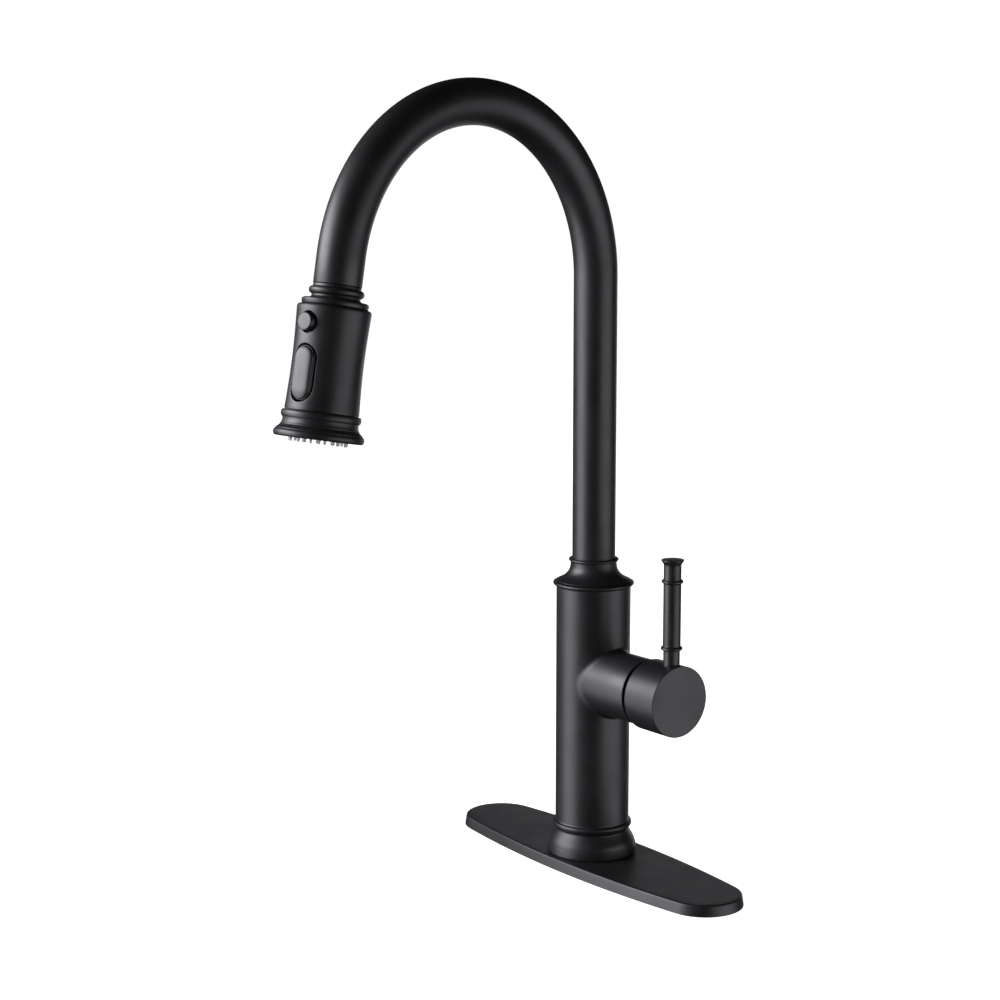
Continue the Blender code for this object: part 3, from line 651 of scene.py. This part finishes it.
def make_body():
    skin = Skin()
    reach, rows, half_columns = 30.0, 40, 45
    low, high = HANDLE_Z - reach, HANDLE_Z + reach
    wall_low, wall_high = 28.2, 174.2
    heights = [wall_low, 48.0, 68.0] + [low + 2 * reach * i / rows for i in range(rows + 1)]
    heights += [160.0, wall_high]
    fill_wall(skin, heights, body_radius, [(half_columns, low, high)])
    rim = patch_rim(half_columns, low, high, rows)
    curves = [boss_curve(math.pi / 2 - aim) for aim in aims(rim)]
    fill_patch(skin, [end for _, end in curves], rim, body_radius, 6)
    skin.rings([[curve[k] for curve, _ in curves] for k in range(len(curves[0][0]))])
    boss = [(BOSS_END - 1.0, BOSS_R)]
    boss += [(BOSS_END - 1.0 + math.sin(t), BOSS_R - 1.0 + math.cos(t))
             for t in (math.pi / 2 * i / 6 for i in range(1, 7))]
    boss += [(BOSS_END, CAVITY_R + 0.3), (BOSS_END - 0.3, CAVITY_R), (CAVITY_FLOOR, CAVITY_R),
             (CAVITY_FLOOR, 0.0)]
    rings = [[curve[0] for curve, _ in curves]]
    for x, r in boss:
        rings.append([(x, r * math.cos(aim), HANDLE_Z + r * math.sin(aim)) for aim in aims(rim)])
    skin.rings(rings)
    top = [(BODY_R, wall_high), (BODY_R, 174.6), (22.9, 175.0), (23.2, 175.2)]
    top += bead(23.6, 24.8, BODY_TOP, 175.3)[::-1] + [(22.9, BODY_TOP), (SWIVEL_BORE_R + 0.4, BODY_TOP)]
    inside = [(SWIVEL_BORE_R, BODY_TOP - 0.4), (SWIVEL_BORE_R, SWIVEL_FLOOR),
              (HOSE_BORE_R, SWIVEL_FLOOR), (HOSE_BORE_R, 60.0), (6.5, 60.0), (6.5, SHANK_TOP),
              (SHANK_R + 0.3, SHANK_TOP), (SHANK_R + 0.3, BODY_FOOT)]
    foot = [(22.6, BODY_FOOT), (22.7, 22.3), (22.7, 23.2), (22.9, 23.5), (23.3, 23.65)]
    foot += bead(23.6, 24.6, 26.7, 23.7)[::-1]
    foot += [(23.2, 26.8), (22.9, 27.1), (BODY_R, 27.5), (BODY_R, wall_low)]
    skin.lathe(top + inside + foot, closed=False)
    piece("body_casting", skin, UPRIGHT, "base", BLACK, ["body_shell"], sharp=45)


def make_swivel_and_cartridge():
    for top, label in ((176.0, "high"), (151.0, "low")):
        profile = rounded([(TUBE_R + 0.3, top), (SWIVEL_BORE_R - 0.3, top),
                           (SWIVEL_BORE_R - 0.3, top - 6.5), (TUBE_R + 0.3, top - 6.5)], 0.3)
        piece("bushing_ring_" + label, Skin().lathe(profile, steps=96), UPRIGHT, "base", PLASTIC,
              ["swivel_bushing_" + label])
    for z, label in ((165.0, "high"), (158.0, "low")):
        ring = [(TUBE_R + 1.1 + 0.8 * math.sin(t), z + 0.8 * math.cos(t))
                for t in (2 * math.pi * i / 16 for i in range(16))]
        piece("swivel_oring_" + label, Skin().lathe(ring, steps=96), UPRIGHT, "base", RUBBER,
              ["swivel_seal_" + label])
    profile = rounded([(12.0, 46.0), (16.6, 46.0), (17.3, 45.3), (17.3, 38.5), (12.0, 38.5)], 0.25)
    piece("cartridge_nut_ring", Skin().lathe(profile, steps=96), ON_BOSS, "base", BRASS_ACROSS,
          ["cartridge_nut"])
    profile = (rounded([(13.0, 46.3), (10.6, 46.3), (10.6, 54.1), (11.0, 54.2)], 0.3, closed=False)
               + flowing([(11.2, 54.15), (13.0, 53.7), (15.6, 52.2), (17.0, 50.4), (17.4, 49.2)])
               + rounded([(17.4, 49.0), (17.4, 46.3), (16.0, 46.3)], 0.3, closed=False))
    piece("cartridge_dome_cover", Skin().lathe(profile, steps=128), ON_BOSS, "base", BLACK_TRIM,
          ["cartridge_dome"])


# ------------------------------------------------------------------ handle

def make_handle():
    profile = rounded([(0, HUB_FACE), (7.0, HUB_FACE), (14.0, HUB_FACE), (19.6, HUB_FACE),
                       (20.3, HUB_FACE), (HUB_R, HUB_FACE, 0.7), (HUB_R, HUB_FACE - 1.4),
                       (HUB_R, HUB_BACK + 1.2), (HUB_R, HUB_BACK, 0.6), (18.8, HUB_BACK, 0.3),
                       (18.8, HUB_BACK + 7.5, 0.3), (0, HUB_BACK + 7.5)], closed=False, steps=6)
    hub = piece("handle_hub_cup", Skin().lathe(profile, closed=False), ON_BOSS, "handle", BLACK,
                ["handle_hub"])
    hole = Skin().lathe([(0, 14.0), (5.15, 14.0), (5.15, -8.0), (0, -8.0)], closed=False, steps=64)
    carve(hub, hole, Matrix.Translation((LEVER_X * MM, 0, PIVOT.z + 20.0 * MM)))
    hole = Skin().lathe([(0, 5.0), (2.3, 5.0), (2.3, -12.0), (0, -12.0)], closed=False, steps=40)
    carve(hub, hole, Matrix.Translation((66.0 * MM, 0, PIVOT.z - 14.0 * MM)))

    profile = ([(0, 187.0)] + rounded([(0, 187.0), (5.25, 187.0), (5.25, 150.4)], 0.3, closed=False)[1:]
               + [(5.25, 149.7), (5.35, 149.4), (5.5, 149.3)]
               + bead(5.7, 6.45, 149.2, 147.3)[1:-1] + [(5.5, 147.3), (5.1, 147.15), (4.95, 146.6)]
               + [(4.9, 146.0), (4.9, HANDLE_Z + 10.2), (0, HANDLE_Z + 10.2)])
    piece("lever_stem", Skin().lathe(profile, closed=False, steps=128), ON_LEVER, "handle", BLACK,
          ["lever_rod"])
    profile = (rounded([(0, LEVER_TOP), (6.7, LEVER_TOP, 0.3), (6.7, 200.5, 0.2)], closed=False)
               + flowing([(6.6, 200.3), (6.2, 199.75), (5.7, 199.1), (5.4, 198.6), (5.25, 198.3)])
               + [(5.05, 198.15), (5.05, 197.9), (5.2, 197.75), (5.2, 189.9), (5.3, 189.3), (5.5, 189.15)]
               + bead(5.7, 6.45, 189.1, 187.3)[1:-1] + [(5.5, 187.3), (0, 187.3)])
    piece("lever_cap", Skin().lathe(profile, closed=False, steps=128), ON_LEVER, "handle", BLACK,
          ["lever_tip"])

    skin = Skin().lathe(rounded([(1.9, HANDLE_Z - 19.7), (2.0, HANDLE_Z - 19.5),
                                 (2.0, HANDLE_Z - 4.7), (1.8, HANDLE_Z - 4.5), (0, HANDLE_Z - 4.5)],
                                0.1, closed=False), closed=False, steps=48)
    rings = [circle(1.9, HANDLE_Z - 19.7, 48), hexagon(1.0, HANDLE_Z - 19.7, 48),
             hexagon(1.0, HANDLE_Z - 17.6, 48)]
    skin.rings(rings).cap(rings[-1])
    piece("set_screw_socket", skin, Matrix.Translation((66.0 * MM, 0, 0)), "handle", STEEL,
          ["set_screw"])


# ------------------------------------------------------------------ spout

def along_spout(s):
    """Point and direction of the spout's centreline, s after the tube's foot."""
    rise = ARC_Z - TUBE_FOOT
    if s <= rise:
        return Vector((0, 0, TUBE_FOOT + s)), Vector((0, 0, 1))
    a = min((s - rise) / ARC_R, ARC_SWEEP)
    way = Vector((math.sin(a), 0, math.cos(a)))
    point = Vector((ARC_R * (1 - math.cos(a)), 0, ARC_Z + ARC_R * math.sin(a)))
    return point + way * max(0.0, s - rise - ARC_R * ARC_SWEEP), way


def pipe_ring(s, radius, steps=128):
    point, way = along_spout(s)
    across = Vector((way.z, 0, -way.x))
    return [point + radius * (math.cos(2 * math.pi * i / steps) * across
                              + math.sin(2 * math.pi * i / steps) * Vector((0, 1, 0)))
            for i in range(steps)]


def make_spout():
    rise, bend = ARC_Z - TUBE_FOOT, ARC_R * ARC_SWEEP
    whole = rise + bend + TUBE_END
    stops = [0.25 + (rise - 0.25) * i / 24 for i in range(24)]
    stops += [rise + bend * i / 170 for i in range(171)] + [whole - 0.3]
    lip = [(whole - 0.1, TUBE_R - 0.08), (whole, TUBE_R - 0.3), (whole, TUBE_R - TUBE_WALL + 0.2)]
    rings = [pipe_ring(0.0, TUBE_R - 0.25)] + [pipe_ring(s, TUBE_R) for s in stops]
    rings += [pipe_ring(s, r) for s, r in lip]
    rings += [pipe_ring(s, TUBE_R - TUBE_WALL) for s in [whole - 0.2] + stops[::-1]]
    rings.append(pipe_ring(0.0, TUBE_R - TUBE_WALL + 0.2))
    piece("spout_pipe", Skin().rings(rings, closed=True), IN_SPOUT, "spout", BLACK, ["spout_tube"])

    profile = ([(13.25, BODY_TOP + 0.3), (13.25, 191.4), (13.5, 191.75)]
               + bead(14.3, 15.3, 191.8, 190.0)[1:-1] + [(14.3, 189.9), (14.15, 189.5)]
               + flowing([(14.1, 188.9), (14.2, 187.4), (14.6, 185.6), (15.4, 183.8), (16.8, 182.0),
                          (18.7, 180.4), (20.8, 179.2), (22.4, 178.5)])
               + [(22.8, 178.3), (22.9, 178.1), (22.75, BODY_TOP + 0.3)])
    piece("spout_foot_collar", Skin().lathe(profile), IN_SPOUT, "spout", BLACK, ["spout_collar"])

    r_out = TUBE_R - TUBE_WALL - 0.3
    profile = rounded([(9.7, -2.0, 0.5), (r_out, -2.0), (r_out, 0.3 - TUBE_END, 0.3),
                       (9.7, 0.3 - TUBE_END, 0.5)], 0.3)
    piece("dock_liner", Skin().lathe(profile, steps=128), IN_HEAD, "spout", PLASTIC, ["dock_sleeve"])


def make_hose():
    """The run of hose that is drawn out of the spout with the head."""
    count = 160
    rings = [circle(HOSE_R, -(HOSE_TOP + (HOSE_FOOT - HOSE_TOP) * k / count), 48)
             for k in range(count + 1)]
    skin = Skin().rings(rings).cap(rings[0]).cap(rings[-1])
    hose = piece("spray_hose", skin, IN_HEAD, None, BRAID)
    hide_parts("hose_free_run")
    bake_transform(hose)


# ------------------------------------------------------------------ spray head

def make_head():
    profile = (rounded([(7.4, -34.0), (7.4, -3.2, 0.4), (8.6, -3.2, 0.4), (9.4, -4.2, 0.5),
                        (9.4, -15.5, 0.2), (12.95, -15.5, 0.25), (13.0, -16.8)], closed=False)
               + [(13.05, -16.95)] + bead(13.3, 14.9, -17.0, -20.9)[1:-1]
               + flowing([(13.4, -20.95), (13.1, -21.6), (13.4, -22.5), (14.6, -23.05), (16.6, -23.3)])
               + rounded([(17.0, -23.35), (17.9, -23.9, 0.4), (18.1, -24.9, 0.6), (17.7, -26.6, 0.3),
                          (12.1, -26.6, 0.2), (12.1, -34.0)], closed=False))
    piece("head_collar_ring", Skin().lathe(profile), IN_HEAD, "spray_head", BLACK, ["head_collar"])
    profile = rounded([(3.6, -8.0), (6.4, -8.0), (6.9, -8.6), (6.9, -33.6), (3.6, -33.6)], 0.25)
    piece("hose_connector_nipple", Skin().lathe(profile, steps=96), IN_HEAD, "spray_head", BRASS,
          ["hose_connector"])
    make_shell()

    profile = ([(18.0, -91.0), (18.0, -83.25), (19.5, -83.25), (19.6, -83.5), (20.3, -83.5)]
               + bead(20.5, 21.6, -83.5, -87.6)[1:-1] + [(20.55, -87.65), (20.45, -88.0)]
               + flowing([(20.45, -88.6), (20.55, -89.8), (21.1, -91.3), (22.3, -92.6), (23.4, -93.5)])
               + [(23.45, -93.7), (23.4, -93.95)]
               + flowing([(23.75, -94.2), (24.25, -94.8), (24.5, -96.0), (24.25, -97.1), (23.4, -97.9),
                          (22.3, -98.0)])
               + [(21.5, -97.9), (21.2, -97.5), (21.2, -91.0)])
    piece("head_skirt_ring", Skin().lathe(profile), IN_HEAD, "spray_head", BLACK, ["head_skirt"])


def shell_radius(z):
    t = max(0.0, (-29.2 - z) / 54.0)
    return SHELL_R_TOP + (SHELL_R_FOOT - SHELL_R_TOP) * t - SHELL_WAIST * math.sin(math.pi * t)


def shell_inner_radius(_):
    return SHELL_WALL_R


def make_shell():
    """The head's shell, with a round hole for the button and a long one for the rocker.

    A port is the half columns, height, half height and rows of its patch of the wall, and the radius
    and half straight run of its hole.
    """
    skin = Skin()
    wall_low, wall_high = -82.8, -29.9
    ports = ((13, -BUTTON_H, 6.9, 16, BUTTON_R + BUTTON_SPACE, 0.0),
             (18, -ROCKER_H, 17.6, 44, ROCKER_W / 2 + ROCKER_SPACE, (ROCKER_L - ROCKER_W) / 2))
    heights, patches = {wall_low, wall_high}, []
    for half_columns, mid, half, rows, _, _ in ports:
        heights |= {mid - half + 2 * half / rows * i for i in range(rows + 1)}
        patches.append((half_columns, mid - half, mid + half))
    heights = sorted(heights)
    for radius_at in (shell_radius, shell_inner_radius):
        fill_wall(skin, heights, radius_at, patches)
    for half_columns, mid, half, rows, radius, straight in ports:
        rim = patch_rim(half_columns, mid - half, mid + half, rows)
        edge = 0.35
        rings = []
        for k in range(5):
            t = math.pi / 2 * k / 4
            rings.append(port_edge(rim, radius, straight, mid, edge * (1 - math.sin(t)),
                                   edge * (1 - math.cos(t)), shell_radius))
        rings.append(port_edge(rim, radius, straight, mid, 0.0, 0.0, shell_inner_radius))
        fill_patch(skin, [(a, z) for a, z, _ in rings[0]], rim, shell_radius, 4)
        fill_patch(skin, [(a, z) for a, z, _ in rings[-1]], rim, shell_inner_radius, 4)
        skin.rings([[(r * math.cos(a), r * math.sin(a), z) for a, z, r in ring] for ring in rings])
    top = [(shell_radius(wall_high), wall_high)]
    top += flowing([(20.0, -29.3), (19.95, -28.3), (19.6, -27.4), (18.9, -26.95)])
    top += [(18.2, -26.9), (12.6, -26.9), (12.4, -27.1), (12.4, -30.0), (17.3, -30.0),
            (SHELL_WALL_R, wall_high)]
    skin.lathe(top, closed=False)
    foot = [(shell_radius(wall_low), wall_low), (20.05, -83.1), (19.85, -83.2), (17.8, -83.2),
            (SHELL_WALL_R, -83.0), (SHELL_WALL_R, wall_low)]
    skin.lathe(foot, closed=False)
    piece("head_grip_shell", skin, IN_HEAD, "spray_head", BLACK, ["head_shell"], sharp=50)


def make_controls():
    face, edge = 22.3, 0.8
    profile = [(0, face + 0.05), (2.0, face + 0.03)]
    profile += [(BUTTON_R - edge + edge * math.sin(t), face - edge + edge * math.cos(t))
                for t in (math.pi / 2 * i / 8 for i in range(9))]
    profile += [(BUTTON_R, 15.7), (6.5, 15.7), (6.6, 15.6), (6.6, 14.7), (6.5, 14.6), (0, 14.6)]
    piece("pause_button_cap", Skin().lathe(profile, closed=False, steps=96), on_head(0, BUTTON_H),
          "pause_button", BLACK_TRIM, ["pause_button"])

    half = (ROCKER_L - ROCKER_W) / 2
    levels = [(13.8, 0.25), (14.05, 0.0), (18.5, 0.0), (18.66, 0.05), (18.76, 0.16), (18.8, 0.32),
              (18.84, 0.46), (19.1, 0.5), (19.4, 0.6), (19.62, 0.78), (19.78, 1.05), (19.95, 1.5),
              (20.12, 2.1), (20.25, 2.9), (20.34, 3.9), (20.39, 4.9), (20.4, 5.9)]
    rings = [stadium(ROCKER_W / 2 - inset, half, height) for height, inset in levels]
    skin = Skin().rings(rings).cap(rings[0]).cap(rings[-1])
    piece("rocker_paddle", skin, on_head(0, ROCKER_H), "rocker", BLACK_TRIM, ["rocker_toggle"],
          sharp=50)


def nozzle_places():
    return [(radius * math.cos(2 * math.pi * i / count), radius * math.sin(2 * math.pi * i / count))
            for radius, count in ((15.4, 13), (11.0, 8)) for i in range(count)]


def make_spray_face():
    profile = rounded([(8.2, -93.6), (20.8, -93.6), (20.8, -96.6, 0.5), (8.2, -96.6, 0.3)], 0.2)
    face = piece("spray_face", Skin().lathe(profile), IN_HEAD, "spray_head", PLASTIC, ["face_plate"])
    holes = Skin()
    for place in nozzle_places():
        holes.lathe([(0, -92.0), (1.35, -92.0), (1.35, -96.2), (1.6, -96.7), (1.6, -98.0), (0, -98.0)],
                    closed=False, steps=28, at=place)
    carve(face, holes, IN_HEAD)
    pad = Skin().lathe(rounded([(8.2, -91.3), (20.8, -91.3), (20.8, -93.3), (8.2, -93.3)], 0.2),
                       steps=96)
    for place in nozzle_places():
        pad.lathe([(0, -92.6), (1.1, -92.6), (1.05, -95.5), (0.95, -97.0), (0.75, -98.8), (0.62, -99.8),
                   (0.56, -100.05), (0.45, -NOZZLE_TIP), (0.32, -NOZZLE_TIP), (0.27, -100.1),
                   (0.27, -98.4), (0, -98.4)], closed=False, steps=24, at=place)
    piece("nozzle_mat", pad, IN_HEAD, "spray_head", SILICONE, ["nozzle_pad"])

    profile = rounded([(0, -84.4), (7.9, -84.4), (7.9, -96.9), (6.6, -96.9), (6.5, -95.6), (0, -95.6)],
                      0.25, closed=False)
    aerator = piece("aerator_insert", Skin().lathe(profile, closed=False, steps=96), IN_HEAD,
                    "spray_head", PLASTIC, ["aerator"])
    cells = Skin()
    for i in range(-4, 5):
        for j in range(-4, 5):
            x, y = 1.35 * (i + 0.5 * (j % 2)), 1.17 * j
            if math.hypot(x, y) > 5.6:
                continue
            ring = [[(x + 0.52 * math.cos(math.pi / 3 * k + math.pi / 6),
                      y + 0.52 * math.sin(math.pi / 3 * k + math.pi / 6), z) for k in range(6)]
                    for z in (-93.0, -97.5)]
            cells.rings(ring).cap(ring[0]).cap(ring[1])
    carve(aerator, cells, IN_HEAD)


# ------------------------------------------------------------------ carried-over CAD parts

CARRIED = {"cartridge_body": CERAMIC, "cartridge_rotor": CERAMIC, "rotor_pin": STEEL,
           "cartridge_stem": STEEL_ACROSS, "rocker_pin": STEEL_ACROSS, "hose_washer": RUBBER,
           "diverter_core": PLASTIC, "flow_plate": PLASTIC, "pull_hose": BRAID}


def dress_cad_parts():
    for name, look in CARRIED.items():
        node = frame["nodes"][name]
        node.data.materials.clear()
        node.data.materials.append(look)


# ------------------------------------------------------------------ studio

def on_camera_only(nodes, links, seen, lit, output):
    """One shader for what the camera sees and another for all other light."""
    path = nodes.new("ShaderNodeLightPath")
    blend = nodes.new("ShaderNodeMixShader")
    links.new(path.outputs["Is Camera Ray"], blend.inputs["Fac"])
    links.new(lit, blend.inputs[1])
    links.new(seen, blend.inputs[2])
    links.new(blend.outputs["Shader"], output)


def make_studio():
    world = bpy.data.worlds.new("studio")
    bpy.context.scene.world = world
    world.use_nodes = True
    nodes, links = world.node_tree.nodes, world.node_tree.links
    soft, bright = nodes["Background"], nodes.new("ShaderNodeBackground")
    soft.inputs["Color"].default_value = (1, 1, 1, 1)
    soft.inputs["Strength"].default_value = AMBIENT
    bright.inputs["Strength"].default_value = BACKGROUND
    bright.inputs["Color"].default_value = (1, 1, 1, 1)
    on_camera_only(nodes, links, bright.outputs[0], soft.outputs[0],
                   nodes["World Output"].inputs["Surface"])

    floor = bpy.data.meshes.new("deck_floor")
    floor.from_pydata([(-FLOOR_SIDE, FLOOR_FRONT, FLOOR_Z), (FLOOR_SIDE, FLOOR_FRONT, FLOOR_Z),
                       (FLOOR_SIDE, FLOOR_BACK, FLOOR_Z), (-FLOOR_SIDE, FLOOR_BACK, FLOOR_Z)], [],
                      [(0, 1, 2, 3)])
    made, nodes, links, shader = tree_of("pale_floor")
    shader.inputs["Base Color"].default_value = (0.8, 0.8, 0.8, 1)
    shader.inputs["Roughness"].default_value = 0.9
    shader.inputs["Emission Color"].default_value = (1, 1, 1, 1)
    shader.inputs["Emission Strength"].default_value = FLOOR_GLOW
    floor.materials.append(made)
    ob = bpy.data.objects.new("deck_floor", floor)
    bpy.context.scene.collection.objects.link(ob)
    ob.visible_glossy = ob.visible_diffuse = ob.visible_shadow = False

    for name, turn, rise, away, wide, tall, radiance in SOFTBOXES:
        lamp = bpy.data.lights.new(name, "AREA")
        lamp.shape, lamp.size, lamp.size_y = "RECTANGLE", wide, tall
        lamp.color = LAMP_TINT
        lamp.energy = radiance * math.pi * wide * tall
        ob = bpy.data.objects.new(name, lamp)
        a, e = math.radians(turn), math.radians(rise)
        way = Vector((math.sin(a) * math.cos(e), -math.cos(a) * math.cos(e), math.sin(e)))
        ob.location = Vector(LAMP_AIM) + way * away
        ob.rotation_euler = way.to_track_quat("Z", "Y").to_euler()
        ob.visible_camera = False
        bpy.context.scene.collection.objects.link(ob)

    camera = bpy.data.cameras.new("camera")
    camera.lens, camera.sensor_width = CAMERA_LENS, 36.0
    camera.clip_start, camera.clip_end = 0.05, 50.0
    ob = bpy.data.objects.new("camera", camera)
    a, e = math.radians(CAMERA_TURN), math.radians(CAMERA_RISE)
    ob.location = Vector((math.sin(a) * math.cos(e), -math.cos(a) * math.cos(e), math.sin(e)))
    ob.location *= CAMERA_AWAY
    ob.location.z += CAMERA_Z
    ob.rotation_euler = (math.radians(90 - CAMERA_TILT), 0, math.radians(CAMERA_HEADING))
    bpy.context.scene.collection.objects.link(ob)
    bpy.context.scene.camera = ob
    bpy.context.scene.view_settings.view_transform = "Standard"


make_base()
make_below_deck()
make_body()
make_swivel_and_cartridge()
make_handle()
make_spout()
make_hose()
make_head()
make_controls()
make_spray_face()
dress_cad_parts()
make_studio()
